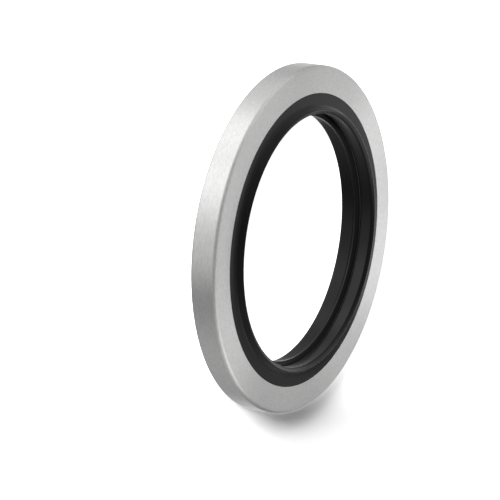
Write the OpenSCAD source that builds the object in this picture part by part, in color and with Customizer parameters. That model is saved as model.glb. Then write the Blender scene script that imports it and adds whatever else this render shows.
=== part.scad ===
// Bonded sealing washer for a 5/8 inch pipe thread, lying flat on its lower lip.
// The metal ring keeps the joint at a fixed height and takes the clamping load.
// The rubber seal is moulded into the ring's bore. Its two lips stand proud of
// the metal faces, and a thin fin halfway down the bore centres it on the thread.
// Sizes are in millimetres. The axis is +Z and the lower lip rests on Z = 0.

/* [Thread] */
// Outside diameter of the thread that the washer seals
thread_d = 22.91; // [9:0.01:60]
// Radial clearance between the thread and the mouths of the bore
thread_gap = 0.095; // [0.05:0.005:0.3]
// Radial bite of the centring fin on the thread
fin_bite = 0.255; // [0.1:0.005:0.5]

/* [Metal ring] */
// Radial width of the metal ring
ring_w = 2.5; // [1.5:0.05:6]
// Thickness of the metal ring
ring_t = 2.49; // [1.5:0.01:4]
// Rounding of the ring's two outer edges
ring_edge_round = 0.3; // [0.05:0.05:1]

/* [Sealing lips] */
// Radial width of the rubber, from the mouths of the bore to the metal ring
rubber_w = 1.825; // [1.3:0.005:4]
// Height of a lip's crest above the metal face beside it
lip_h = 0.53; // [0.35:0.01:1]
// Slope of the lip's outer flank, in degrees above the metal face
flank_angle = 62; // [50:1:75]
// Rounding in the corner at the lip's foot
foot_round = 0.12; // [0.05:0.01:0.3]
// Rounding of the lip's crest
crest_round = 0.12; // [0.05:0.01:0.25]
// Radial distance from the bore's mouth to the lip's crest
bevel_w = 0.37; // [0.25:0.01:0.6]
// Slope of the bevel between the crest and the bore, in degrees
bevel_angle = 31; // [20:1:35]
// Rounding of the bore's mouths, at the bevel's inner edge
mouth_round = 0.2; // [0.05:0.01:0.4]

/* [Fin and grooves] */
// Thickness of the fin at its crest
fin_t = 0.2; // [0.1:0.01:0.35]
// Thickness of the fin at its root
fin_root_t = 0.27; // [0.2:0.01:0.4]
// How much farther out the bore's wall stands beside the fin than at the mouths
belly = 0.1; // [0:0.01:0.2]
// Depth of the groove on each side of the fin, below the bore's wall
groove_depth = 0.15; // [0.05:0.01:0.4]
// Width of each groove's floor
groove_floor_w = 0.1; // [0.05:0.01:0.2]
// Width of the slope from the groove's floor up to the bore's wall
groove_slope_w = 0.12; // [0.05:0.01:0.3]
// Rounding of the edge between the bore's wall and the groove
groove_edge_round = 0.15; // [0.05:0.01:0.3]
// Rounding at the bottom of the groove
groove_floor_round = 0.04; // [0.02:0.01:0.1]

/* [Hidden] */
turn_fn = 180;
arc_fn = 48;
// half the metal's thickness, and the height of the washer's middle plane
half_t = ring_t / 2;
mid_z = half_t + lip_h;
// radius of the bore at its mouths, and of the bonded wall between the two pieces
bore_r = thread_d / 2 + thread_gap;
wall_r = bore_r + rubber_w;
// the crest's rounding leaves some of the flank and of the bevel straight
crest_r = min(crest_round, 0.25 * lip_h, 0.35 * bevel_w);
// how far the sharp corner under that rounding stands above and outside the crest
crest_half = 90 - (flank_angle + bevel_angle) / 2;
crest_lean = (flank_angle - bevel_angle) / 2;
sharp_up = crest_r * (cos(crest_lean) / sin(crest_half) - 1);
sharp_out = crest_r * sin(crest_lean) / sin(crest_half);
// heights above the middle plane
crest_z = half_t + lip_h + sharp_up;
floor_z = fin_root_t / 2 + groove_floor_w;
slope_z = floor_z + groove_slope_w;
// distances outwards from the bore's mouth
crest_x = bevel_w + sharp_out;
foot_x = crest_x + (crest_z - half_t) / tan(flank_angle);
mouth_z = crest_z - crest_x * tan(bevel_angle);
floor_x = belly + groove_depth;
fin_x = -(thread_gap + fin_bite);
// arcs overshoot their sides by a hair, so that they cross them and don't graze them
overshoot = 0.00002;

// the metal's section from its bore outwards, as corners of [x, z, rounding]
METAL_SECTION = [
    [0, -half_t, 0],
    [ring_w, -half_t, ring_edge_round],
    [ring_w, half_t, ring_edge_round],
    [0, half_t, 0]
];
// the upper half of the rubber's section, from the bonded wall inwards to the fin
RUBBER_HALF = [
    [rubber_w, half_t, 0],
    [foot_x, half_t, foot_round],
    [crest_x, crest_z, crest_r],
    [0, mouth_z, mouth_round],
    [belly, slope_z, groove_edge_round],
    [floor_x, floor_z, groove_floor_round],
    [floor_x, fin_root_t / 2, groove_floor_round],
    [fin_x, fin_t / 2, 0]
];
RUBBER_SECTION = [
    each RUBBER_HALF,
    for (i = [len(RUBBER_HALF) - 1:-1:0])
        let (p = RUBBER_HALF[i])
        [p[0], -p[1], p[2]]
];

// geometry of the corner at v, between its neighbours a and b
function unit(v) = v / norm(v);
function half_angle(a, v, b) = acos(unit(a - v) * unit(b - v)) / 2;
function is_outward(a, v, b) = cross(v - a, b - v) > 0;
// a rounding takes at most 45 percent of the shorter side beside it
function fitting_r(a, v, b, r) =
    min(r, 0.45 * min(norm(a - v), norm(b - v)) * tan(half_angle(a, v, b)));

// one corner as [a, v, b, rounding that fits]
function corner(points, i) =
    let (
        n = len(points),
        a = [for (k = [0, 1]) points[(i + n - 1) % n][k]],
        v = [for (k = [0, 1]) points[i][k]],
        b = [for (k = [0, 1]) points[(i + 1) % n][k]]
    )
    [a, v, b, fitting_r(a, v, b, points[i][2])];
function arc_centre(c) =
    c[1] + unit(unit(c[0] - c[1]) + unit(c[2] - c[1])) * c[3] / sin(half_angle(c[0], c[1], c[2]));
function arc_start(c) =
    c[1] + unit(c[0] - c[1]) * c[3] / tan(half_angle(c[0], c[1], c[2]));
function arc_end(c) =
    c[1] + unit(c[2] - c[1]) * c[3] / tan(half_angle(c[0], c[1], c[2]));

// the corner arcs of a section, either those that bulge out or those that cut in
module arcs(corners, outward) {
    for (c = corners)
        if (c[3] > 0 && is_outward(c[0], c[1], c[2]) == outward)
            translate(arc_centre(c)) circle(c[3] + overshoot, $fn = arc_fn);
}

// a section with each corner rounded by its own radius, listed anticlockwise
module rounded_section(points) {
    corners = [for (i = [0:len(points) - 1]) corner(points, i)];
    difference() {
        union() {
            polygon([for (c = corners) each c[3] > 0 ? [arc_start(c), arc_end(c)] : [c[1]]]);
            arcs(corners, true);
        }
        arcs(corners, false);
    }
}

// a section turned about the washer's axis, drawn from the radius r outwards
module turned(r, points) {
    translate([0, 0, mid_z])
        rotate_extrude($fn = turn_fn)
            translate([r, 0]) rounded_section(points);
}

module metal_ring() {
    color([0.74, 0.74, 0.73]) turned(wall_r, METAL_SECTION);
}

module rubber_seal() {
    color([0.06, 0.06, 0.06]) turned(bore_r, RUBBER_SECTION);
}

metal_ring();
rubber_seal();
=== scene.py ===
# %% [markdown]
# A bonded sealing washer, 32 mm across: a satin, zinc plated steel ring with a
# black rubber seal moulded into its bore. It lies flat on a white table, the way
# it would rest, and a long lens looks down on it from one side.
#
# The CAD model gives the size and the place of both pieces. Here they are turned
# again from the same sizes, with finer roundings, and given their finishes.

# %% Load the CAD frame
import math

import bmesh
import bpy
from mathutils import Matrix, Vector


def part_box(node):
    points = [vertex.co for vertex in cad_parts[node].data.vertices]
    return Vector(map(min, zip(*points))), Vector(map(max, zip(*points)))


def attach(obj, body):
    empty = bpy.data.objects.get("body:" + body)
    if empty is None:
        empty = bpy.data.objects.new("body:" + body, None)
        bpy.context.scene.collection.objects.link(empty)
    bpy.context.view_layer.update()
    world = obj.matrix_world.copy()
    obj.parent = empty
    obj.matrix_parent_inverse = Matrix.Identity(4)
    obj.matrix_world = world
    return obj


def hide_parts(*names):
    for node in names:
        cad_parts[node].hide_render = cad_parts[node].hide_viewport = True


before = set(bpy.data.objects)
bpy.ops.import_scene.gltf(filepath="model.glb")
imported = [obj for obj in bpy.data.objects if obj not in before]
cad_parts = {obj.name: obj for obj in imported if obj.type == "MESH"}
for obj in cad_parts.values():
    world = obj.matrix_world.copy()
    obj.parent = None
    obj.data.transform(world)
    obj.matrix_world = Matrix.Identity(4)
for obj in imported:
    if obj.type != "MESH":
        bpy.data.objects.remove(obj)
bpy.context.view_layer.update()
mm = 0.001

# %% [markdown]
# The camera comes first, because every later choice is judged through it. The
# photograph's long lens was found from the ellipses of the ring's edges. The ring
# stood upright there, so here the camera is rolled until the ring's axis points
# to the right of the picture, and the table lies where the backdrop was.

# %% Camera
RING_AXIS_SEEN = Vector((0.8572, -0.1386, 0.4960)).normalized()
RIM_RADIUS_MM = 15.875
FACE_CENTRE_SEEN = Vector((0.3238, 0.0538, -14.789)) * RIM_RADIUS_MM * mm
LENS_MM = 187.4
SENSOR_MM = 36
upper_face_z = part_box("metal_ring")[1].z


def photo_camera():
    """A camera that sees the washer as the photograph does."""
    # the table's +Y runs away from the lens, and +Z is the ring's axis
    away = FACE_CENTRE_SEEN.normalized()
    away = (away - away.dot(RING_AXIS_SEEN) * RING_AXIS_SEEN).normalized()
    across = away.cross(RING_AXIS_SEEN)
    seen = Matrix((across, away, RING_AXIS_SEEN))
    place = Vector((0, 0, upper_face_z)) - seen @ FACE_CENTRE_SEEN
    data = bpy.data.cameras.new("photo_lens")
    data.lens = LENS_MM
    data.sensor_width = SENSOR_MM
    data.clip_start = 0.01
    data.clip_end = 10
    camera = bpy.data.objects.new("photo_lens", data)
    camera.matrix_world = Matrix.Translation(place) @ seen.to_4x4()
    bpy.context.scene.collection.objects.link(camera)
    bpy.context.scene.camera = camera
    return camera


camera = photo_camera()
print("camera at", [round(v, 4) for v in camera.matrix_world.translation])

# %% [markdown]
# Node trees are easier to read when one call makes a node, sets its options and
# wires its inputs. A value that is already a socket gets a link, and any other
# value is typed into the input.

# %% A helper that adds a node
def add(tree, kind, inputs=None, **options):
    """Add a node to a tree, with its options set and its inputs wired or filled."""
    made = tree.nodes.new(kind)
    for option, value in options.items():
        setattr(made, option, value)
    for name, value in (inputs or {}).items():
        if isinstance(value, bpy.types.NodeSocket):
            tree.links.new(value, made.inputs[name])
        else:
            made.inputs[name].default_value = value
    return made


def maths(tree, operation, *values):
    """Add a Math node and return its result."""
    return add(tree, "ShaderNodeMath", dict(enumerate(values)), operation=operation).outputs[0]


# %% [markdown]
# Both pieces are bodies of revolution: the ring is turned and the seal is
# moulded, and each has one section all the way round. They could be spun from
# drawn profiles, but a Geometry Nodes tree keeps the corners as named sizes. The
# tree lists the corners of the upper half, mirrors them in the middle plane,
# rounds each corner by its own radius, and sweeps the section round a circle.

# %% A tree that turns a section
def turning_tree(name, corners, material):
    """A Geometry Nodes tree that turns a section, from its upper corners listed inwards."""
    tree = bpy.data.node_groups.new(name, "GeometryNodeTree")
    face = tree.interface
    for corner in corners:
        for size in ("radius", "height", "rounding"):
            face.new_socket(f"{corner} {size}", in_out="INPUT", socket_type="NodeSocketFloat")
    face.new_socket("Middle Height", in_out="INPUT", socket_type="NodeSocketFloat")
    face.new_socket("Longest Span", in_out="INPUT", socket_type="NodeSocketFloat")
    face.new_socket("Steps Per Rounding", in_out="INPUT", socket_type="NodeSocketInt")
    face.new_socket("Steps Round", in_out="INPUT", socket_type="NodeSocketInt")
    face.new_socket("Geometry", in_out="OUTPUT", socket_type="NodeSocketGeometry")
    given = add(tree, "NodeGroupInput").outputs

    # point i is corner i of the upper half, or its mirror image counted backwards
    count = len(corners)
    index = add(tree, "GeometryNodeInputIndex").outputs[0]
    mirrored = maths(tree, "SUBTRACT", 2 * count - 1, index)
    corner_index = maths(tree, "MINIMUM", index, mirrored)
    side = maths(tree, "SIGN", maths(tree, "SUBTRACT", mirrored, index))

    def pick(size, kind="FLOAT"):
        """The size of the corner that a point belongs to."""
        switch = add(tree, "GeometryNodeIndexSwitch", data_type=kind)
        while len(switch.index_switch_items) < count:
            switch.index_switch_items.new()
        tree.links.new(corner_index, switch.inputs["Index"])
        for i, corner in enumerate(corners):
            tree.links.new(given[f"{corner} {size}"], switch.inputs[i + 1])
        return switch.outputs[0]

    # a profile swept round a circle lies with its X outwards and its Y along the axis
    turn_radius = given[f"{corners[0]} radius"]
    outwards = maths(tree, "SUBTRACT", pick("radius"), turn_radius)
    place = add(tree, "ShaderNodeCombineXYZ",
                {"X": outwards, "Y": maths(tree, "MULTIPLY", pick("height"), side)})
    points = add(tree, "GeometryNodePoints", {"Count": 2 * count, "Position": place.outputs[0]})
    line = add(tree, "GeometryNodePointsToCurves", {"Points": points.outputs[0]})
    closed = add(tree, "GeometryNodeSetSplineCyclic", {"Geometry": line.outputs[0], "Cyclic": True})
    rounded = add(tree, "GeometryNodeFilletCurve",
                  {"Curve": closed.outputs[0], "Count": given["Steps Per Rounding"],
                   "Radius": pick("rounding"), "Limit Radius": True}, mode="POLY")

    # long straight sides are cut up, so that smooth shading stays at the roundings
    here = add(tree, "GeometryNodeInputPosition").outputs[0]
    next_point = add(tree, "GeometryNodeOffsetPointInCurve", {"Offset": 1})
    there = add(tree, "GeometryNodeFieldAtIndex",
                {"Index": next_point.outputs["Point Index"], "Value": here},
                data_type="FLOAT_VECTOR", domain="POINT")
    span = add(tree, "ShaderNodeVectorMath", {0: here, 1: there.outputs[0]}, operation="DISTANCE")
    cuts = maths(tree, "FLOOR", maths(tree, "DIVIDE", span.outputs["Value"], given["Longest Span"]))
    section = add(tree, "GeometryNodeSubdivideCurve", {"Curve": rounded.outputs[0], "Cuts": cuts})

    path = add(tree, "GeometryNodeCurvePrimitiveCircle",
               {"Resolution": given["Steps Round"], "Radius": turn_radius}, mode="RADIUS")
    swept = add(tree, "GeometryNodeCurveToMesh",
                {"Curve": path.outputs["Curve"], "Profile Curve": section.outputs[0]})
    lift = add(tree, "ShaderNodeCombineXYZ", {"Z": given["Middle Height"]})
    lifted = add(tree, "GeometryNodeSetPosition",
                 {"Geometry": swept.outputs[0], "Offset": lift.outputs[0]})
    bend = add(tree, "GeometryNodeInputMeshEdgeAngle").outputs["Unsigned Angle"]
    shaded = add(tree, "GeometryNodeSetShadeSmooth",
                 {"Geometry": lifted.outputs[0], "Shade Smooth": False,
                  "Selection": maths(tree, "GREATER_THAN", bend, math.radians(40))}, domain="EDGE")
    solid = add(tree, "GeometryNodeRealizeInstances", {"Geometry": shaded.outputs[0]})
    dressed = add(tree, "GeometryNodeSetMaterial",
                  {"Geometry": solid.outputs[0], "Material": material})
    add(tree, "NodeGroupOutput", {"Geometry": dressed.outputs[0]})
    return tree


LONGEST_SPAN_MM = 0.15
STEPS_ROUND = 256


def turned_piece(name, corners, material, middle, arc_steps):
    """Turn a section given as {corner: (radius, height, rounding)} in mm, as a plain mesh."""
    tree = turning_tree(name + "_turning", list(corners), material)
    sizes = {"Middle Height": middle, "Longest Span": LONGEST_SPAN_MM * mm,
             "Steps Per Rounding": arc_steps, "Steps Round": STEPS_ROUND}
    for corner, values in corners.items():
        for size, value in zip(("radius", "height", "rounding"), values):
            sizes[f"{corner} {size}"] = value * mm
    blank = bpy.data.objects.new(name + "_blank", bpy.data.meshes.new(name + "_blank"))
    bpy.context.scene.collection.objects.link(blank)
    lathe = blank.modifiers.new("turning", "NODES")
    lathe.node_group = tree
    for item in tree.interface.items_tree:
        if item.in_out == "INPUT":
            lathe[item.identifier] = sizes[item.name]
    evaluated = blank.evaluated_get(bpy.context.evaluated_depsgraph_get())
    mesh = bpy.data.meshes.new_from_object(evaluated)
    bpy.data.objects.remove(blank)
    piece = bpy.data.objects.new(name, mesh)
    bpy.context.scene.collection.objects.link(piece)
    return piece


def report_mesh(piece):
    """Print a piece's triangles and its volume, which is negative if it is inside out."""
    shape = bmesh.new()
    shape.from_mesh(piece.data)
    triangles = sum(len(face.verts) - 2 for face in shape.faces)
    loose = sum(1 for edge in shape.edges if len(edge.link_faces) != 2)
    volume = shape.calc_volume(signed=True) / mm ** 3
    shape.free()
    print(f"{piece.name}: {triangles} triangles, {volume:.1f} mm3, {loose} open edges")


# %% [markdown]
# Real surfaces are never one flat value. Two effects are shared by both finishes,
# so each is a node group. The first is a fine grain, a noise too small to see as
# bumps, which breaks up the shine. It can be stretched round the axis, the way the
# lathe's marks run on the metal. The second is the faint film that handling leaves,
# a slow noise that makes some places a little duller than others.

# %% Shared surface effects
def surface_group(name, inputs, outputs):
    """An empty shader node group with named float inputs, and its two end nodes."""
    tree = bpy.data.node_groups.new(name, "ShaderNodeTree")
    for label, value in inputs.items():
        socket = tree.interface.new_socket(label, in_out="INPUT", socket_type="NodeSocketFloat")
        socket.default_value = value
    for label in outputs:
        tree.interface.new_socket(label, in_out="OUTPUT", socket_type="NodeSocketFloat")
    return tree, add(tree, "NodeGroupInput").outputs


def fine_grain_group():
    """Height and tone of a fine grain of a given size, stretched round the axis."""
    tree, given = surface_group(
        "fine_grain", {"Grain mm": 0.1, "Stretch": 1.0, "Turn Radius mm": 14.0,
                       "Tone Change": 0.05}, ["Height", "Tone"])
    where = add(tree, "ShaderNodeTexCoord").outputs["Object"]
    place = add(tree, "ShaderNodeSeparateXYZ", {0: where}).outputs
    flat = add(tree, "ShaderNodeCombineXYZ", {"X": place["X"], "Y": place["Y"]}).outputs[0]
    radius = add(tree, "ShaderNodeVectorMath", {0: flat}, operation="LENGTH").outputs["Value"]
    way = add(tree, "ShaderNodeVectorMath", {0: flat}, operation="NORMALIZE").outputs[0]
    # the way round is measured on one circle, and the radius is the noise's fourth axis
    circle = maths(tree, "DIVIDE", maths(tree, "MULTIPLY", given["Turn Radius mm"], mm),
                   given["Stretch"])
    round_place = add(tree, "ShaderNodeVectorMath", {0: way, "Scale": circle},
                      operation="SCALE").outputs[0]
    up = add(tree, "ShaderNodeCombineXYZ", {"Z": place["Z"]}).outputs[0]
    spot = add(tree, "ShaderNodeVectorMath", {0: round_place, 1: up}, operation="ADD").outputs[0]
    scale = maths(tree, "DIVIDE", 1000, given["Grain mm"])
    grain = add(tree, "ShaderNodeTexNoise",
                {"Vector": spot, "W": radius, "Scale": scale, "Detail": 2.0, "Roughness": 0.6},
                noise_dimensions="4D")
    height = grain.outputs[0]
    swing = maths(tree, "MULTIPLY", maths(tree, "SUBTRACT", height, 0.5), given["Tone Change"])
    add(tree, "NodeGroupOutput", {"Height": height, "Tone": maths(tree, "ADD", 1, swing)})
    return tree


def handling_film_group():
    """A slow blotchy value round zero, for the dull film that handling leaves."""
    tree, given = surface_group("handling_film", {"Patch mm": 6.0, "Strength": 0.1}, ["Value"])
    where = add(tree, "ShaderNodeTexCoord").outputs["Object"]
    scale = maths(tree, "DIVIDE", 1000, given["Patch mm"])
    patches = add(tree, "ShaderNodeTexNoise",
                  {"Vector": where, "Scale": scale, "Detail": 3.0, "Roughness": 0.55,
                   "Distortion": 0.4})
    swing = maths(tree, "SUBTRACT", patches.outputs[0], 0.5)
    add(tree, "NodeGroupOutput", {"Value": maths(tree, "MULTIPLY", swing, given["Strength"])})
    return tree


grain_group = fine_grain_group()
film_group = handling_film_group()
print("surface groups:", grain_group.name, film_group.name)

# %% [markdown]
# The finishes themselves. Zinc plating is a metal with a low, even shine, so the
# ring is fully metallic and its roughness does most of the work. It shines more
# broadly across the lathe's marks than along them. The rubber is almost black, and
# what shows its form is a weak, soft reflection. The faint bloom on moulded rubber
# makes it a little lighter where it is seen at a low angle, and that is its sheen.

# %% Finishes
def finish_material(name, colour, roughness, grain_mm, stretch, grain_tone, grain_depth,
                    patch_mm, film, **shader):
    """A Principled finish whose colour and roughness are varied by the two effects."""
    material = bpy.data.materials.new(name)
    material.use_nodes = True
    tree = material.node_tree
    principled = tree.nodes["Principled BSDF"]
    for socket, value in shader.items():
        principled.inputs[socket.replace("_", " ")].default_value = value
    grain = add(tree, "ShaderNodeGroup", node_tree=grain_group)
    grain.inputs["Grain mm"].default_value = grain_mm
    grain.inputs["Stretch"].default_value = stretch
    grain.inputs["Tone Change"].default_value = grain_tone
    worn = add(tree, "ShaderNodeGroup", node_tree=film_group)
    worn.inputs["Patch mm"].default_value = patch_mm
    worn.inputs["Strength"].default_value = film
    tint = add(tree, "ShaderNodeVectorMath", {0: colour, "Scale": grain.outputs["Tone"]},
               operation="SCALE")
    tree.links.new(tint.outputs[0], principled.inputs["Base Color"])
    dullness = maths(tree, "ADD", roughness, worn.outputs["Value"])
    tree.links.new(dullness, principled.inputs["Roughness"])
    bump = add(tree, "ShaderNodeBump",
               {"Strength": 1.0, "Distance": grain_depth * mm, "Height": grain.outputs["Height"]})
    tree.links.new(bump.outputs[0], principled.inputs["Normal"])
    return material


zinc = finish_material(
    "satin_zinc", (0.78, 0.78, 0.775), roughness=0.42, grain_mm=0.12, stretch=2.5,
    grain_tone=0.4, grain_depth=0.0045, patch_mm=5.0, film=0.06,
    Metallic=1.0, Anisotropic=0.85, Anisotropic_Rotation=0.25)
zinc_nodes = zinc.node_tree
round_axis = add(zinc_nodes, "ShaderNodeTangent", direction_type="RADIAL", axis="Z").outputs[0]
zinc_nodes.links.new(round_axis, zinc_nodes.nodes["Principled BSDF"].inputs["Tangent"])
black_rubber = finish_material(
    "black_rubber", (0.001, 0.001, 0.001), roughness=0.27, grain_mm=0.2, stretch=1.0,
    grain_tone=0.3, grain_depth=0.002, patch_mm=4.0, film=0.12,
    Specular_IOR_Level=0.24, Sheen_Weight=0.075, Sheen_Roughness=0.4)
print("finishes:", zinc.name, black_rubber.name)

# %% [markdown]
# The metal ring. It is turned from steel, its outer edges are broken by a small
# rounding, and it is plated. Its bore is plain because the rubber is bonded there.

# %% Metal ring
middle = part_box("metal_ring")[0].lerp(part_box("metal_ring")[1], 0.5).z
bonded_wall = 13.375
half_thickness = 1.245
ring_corners = {
    "Rim": (RIM_RADIUS_MM, half_thickness, 0.3),
    "Bore": (bonded_wall, half_thickness, 0),
}
ring = turned_piece("satin_ring", ring_corners, zinc, middle, arc_steps=10)
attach(ring, "root")
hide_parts("metal_ring")
report_mesh(ring)

# %% [markdown]
# The seal. From the metal inwards its section is a flat land, a steep flank up to
# the lip's crest, a bevel down to the bore, the bore's wall, a narrow groove, and
# half of the thin fin that centres the washer on a thread.

# %% Rubber seal
seal_corners = {
    "Wall": (bonded_wall, half_thickness, 0),
    "Foot": (12.272, half_thickness, 0.12),
    "Crest": (11.967, 1.823, 0.12),
    "Mouth": (11.55, 1.572, 0.2),
    "Groove Edge": (11.65, 0.355, 0.15),
    "Groove Floor": (11.8, 0.235, 0.04),
    "Groove Root": (11.8, 0.135, 0.04),
    "Fin Crest": (11.2, 0.1, 0.03),
}
seal = turned_piece("moulded_seal", seal_corners, black_rubber, middle, arc_steps=6)
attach(seal, "root")
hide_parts("rubber_seal")
report_mesh(seal)

# %% [markdown]
# The table is a plain white sheet. In the photograph it is burnt out to pure white
# and only a soft shadow is left at the washer's lower right. So camera rays see a
# brighter sheet than the one that lights the washer, and away from that shadow a
# glow that only they see keeps the sheet white, also in the hole. Mirror rays pass
# through it to the studio, so that the rim reflects white card and no shadow.

# %% Table
def table_material(colour_lit, colour_seen, shadow_from, shadow_to, shadow_reach):
    """White table that glows to the camera but for the side where the shadow falls."""
    material = bpy.data.materials.new("white_table")
    material.use_nodes = True
    tree = material.node_tree
    tree.nodes.clear()
    path = add(tree, "ShaderNodeLightPath").outputs
    lit = add(tree, "ShaderNodeBsdfDiffuse", {"Color": (*[colour_lit] * 3, 1)})
    seen = add(tree, "ShaderNodeBsdfDiffuse", {"Color": (*[colour_seen] * 3, 1)})
    sheet = add(tree, "ShaderNodeMixShader",
                {0: path["Is Camera Ray"], 1: lit.outputs[0], 2: seen.outputs[0]})
    here = add(tree, "ShaderNodeTexCoord").outputs["Object"]
    place = add(tree, "ShaderNodeSeparateXYZ", {0: here}).outputs
    radius = add(tree, "ShaderNodeVectorMath", {0: here}, operation="LENGTH").outputs["Value"]
    below = add(tree, "ShaderNodeMapRange",
                {"Value": place["X"], "From Min": shadow_from, "From Max": shadow_to},
                interpolation_type="SMOOTHSTEP").outputs[0]
    near = add(tree, "ShaderNodeMapRange",
               {"Value": radius, "From Min": shadow_reach, "From Max": 2 * shadow_reach,
                "To Min": 1.0, "To Max": 0.0}, interpolation_type="SMOOTHSTEP").outputs[0]
    # painted light: outside the lower right this glow washes out the softbox's shadow and the shade
    # near the washer, also in the hole
    glow = maths(tree, "SUBTRACT", 1, maths(tree, "MULTIPLY", below, near))
    seen_glow = maths(tree, "MULTIPLY", glow, path["Is Camera Ray"])
    light = add(tree, "ShaderNodeEmission", {"Strength": seen_glow})
    sheet_and_glow = add(tree, "ShaderNodeAddShader", {0: sheet.outputs[0], 1: light.outputs[0]})
    clear = add(tree, "ShaderNodeBsdfTransparent")
    mixed = add(tree, "ShaderNodeMixShader",
                {0: path["Is Glossy Ray"], 1: sheet_and_glow.outputs[0], 2: clear.outputs[0]})
    add(tree, "ShaderNodeOutputMaterial", {"Surface": mixed.outputs[0]})
    # the glow is for the eye alone, so it is no lamp to be sampled
    material.cycles.emission_sampling = "NONE"
    return material


table_mesh = bpy.data.meshes.new("table")
table_half = 2.0
table_corners = [(table_half * x, table_half * y, 0)
                 for x, y in ((-1, -1), (1, -1), (1, 1), (-1, 1))]
table_mesh.from_pydata(table_corners, [], [(0, 1, 2, 3)])
table = bpy.data.objects.new("table", table_mesh)
table.data.materials.append(table_material(
    colour_lit=0.8, colour_seen=1.83,
    shadow_from=9.6 * mm, shadow_to=17.2 * mm, shadow_reach=40 * mm))
bpy.context.scene.collection.objects.link(table)

# %% [markdown]
# A satin metal shows mostly what stands round it, so the studio is a set of large
# soft panels. The rim and the bore face sideways, and seen from above they mirror
# what lies below the table's plane: bright card on the camera's side, at the top
# and behind, and a dim one at the picture's bottom. The faces and the lips mirror
# what is overhead and behind, which is dimmer and cut into smaller panels, so that
# the rubber stays black between its highlights. Matt surfaces get a plain light.

# %% Studio world
# towards, brightness, degrees to its edge; the camera is at -Y, the picture's top at -X
LOW_PANELS = [
    ((0.0, -0.857, -0.515), 0.97, 45),
    ((0.857, 0.0, -0.515), 0.23, 45),
    ((0.0, 0.857, -0.515), 1.42, 45),
    ((-0.857, 0.0, -0.515), 0.77, 45),
    ((-0.606, -0.606, -0.515), 1.50, 45),
    ((0.0, 1.0, -0.05), 0.15, 30),
]
HIGH_PANELS = [
    ((0.0, 0.5, 0.87), 0.36, 30),
    ((0.29, 0.6, 0.75), 0.50, 24),
    ((0.52, 0.39, 0.76), 1.39, 26),
    ((-0.25, 0.49, 0.84), 0.48, 24),
    ((-0.55, 0.3, 0.78), 0.52, 26),
    ((-0.7, 0.6, 0.4), 0.41, 35),
    ((-0.3, 0.95, 0.1), 0.43, 28),
    ((-0.95, 0.0, 0.3), 0.42, 40),
    ((0.95, 0.0, 0.3), 0.34, 40),
    ((0.0, -0.5, 0.87), 0.10, 35),
    ((0.0, -0.857, 0.515), 0.08, 40),
    ((-0.7, -0.6, 0.4), 0.34, 40),
    ((0.7, -0.6, 0.4), 0.20, 40),
    ((0.0, 0.0, 1.0), 0.10, 30),
]
PANEL_CORE_DEG = 5


def studio_world(plain_level, glossy_level, panels):
    """Plain white light for matt surfaces, and soft panels for what shines."""
    world = bpy.data.worlds.new("studio")
    world.use_nodes = True
    tree = world.node_tree
    tree.nodes.clear()
    path = add(tree, "ShaderNodeLightPath").outputs
    direction = add(tree, "ShaderNodeTexCoord").outputs["Generated"]

    shine = glossy_level
    for towards, brightness, edge in panels:
        dot = add(tree, "ShaderNodeVectorMath",
                  {0: direction, 1: Vector(towards).normalized()}, operation="DOT_PRODUCT")
        panel = add(tree, "ShaderNodeMapRange",
                    {"Value": dot.outputs["Value"],
                     "From Min": math.cos(math.radians(edge)),
                     "From Max": math.cos(math.radians(PANEL_CORE_DEG)),
                     "To Min": 0.0, "To Max": brightness},
                    interpolation_type="SMOOTHSTEP")
        shine = maths(tree, "ADD", shine, panel.outputs[0])
    mirrored = add(tree, "ShaderNodeBackground", {"Strength": shine})
    plain = add(tree, "ShaderNodeBackground", {"Strength": plain_level})
    white = add(tree, "ShaderNodeBackground", {"Strength": 1.0})
    first = add(tree, "ShaderNodeMixShader",
                {0: path["Is Glossy Ray"], 1: plain.outputs[0], 2: mirrored.outputs[0]})
    second = add(tree, "ShaderNodeMixShader",
                 {0: path["Is Camera Ray"], 1: first.outputs[0], 2: white.outputs[0]})
    add(tree, "ShaderNodeOutputWorld", {"Surface": second.outputs[0]})
    world.cycles.sampling_method = "NONE"
    return world


bpy.context.scene.world = studio_world(
    plain_level=0.10, glossy_level=0.24, panels=LOW_PANELS + HIGH_PANELS)

# %% [markdown]
# One softbox stands low on the camera's side and throws the soft shadow. It lights
# what is matt, the table and the rubber's bloom, and doesn't show in the metal. The
# reflector cards do the opposite: they stand just beyond the washer, where its flat
# face mirrors them, and being so near they make the far side and the top of that
# face brighter than the rest.

# %% Softbox and reflector cards
def area_lamp(name, place, facing, size, power):
    """A square lamp at a place, turned to shine away from the direction it stands in."""
    data = bpy.data.lights.new(name, "AREA")
    data.size = size
    data.energy = power
    lamp = bpy.data.objects.new(name, data)
    lamp.location = place
    lamp.rotation_mode = "QUATERNION"
    lamp.rotation_quaternion = facing.to_track_quat("Z", "Y")
    lamp.visible_camera = False
    bpy.context.scene.collection.objects.link(lamp)
    return lamp


softbox_way = Vector((-0.238, -0.908, 0.344)).normalized()
softbox_distance = 0.6
softbox = area_lamp("left_softbox", softbox_way * softbox_distance, softbox_way,
                    size=0.18, power=6.0)
softbox.visible_glossy = False

# name, the point of the face in front of it in mm, milliwatts
CARDS = [
    ("top_near_card", (-13, -11), 0.04),
    ("top_card", (-13, 11), 0.26),
    ("near_card", (0, -11), 0.18),
    ("far_card", (0, 11), 0.71),
]
mirror_way = Vector((0, 0.857, 0.515)).normalized()
card_distance = 0.04
for name, (x, y), milliwatts in CARDS:
    card = area_lamp(name, Vector((x, y, 0)) * mm + mirror_way * card_distance, mirror_way,
                     size=0.012, power=milliwatts / 1000)
    card.visible_diffuse = False
bpy.context.scene.view_settings.view_transform = "Standard"
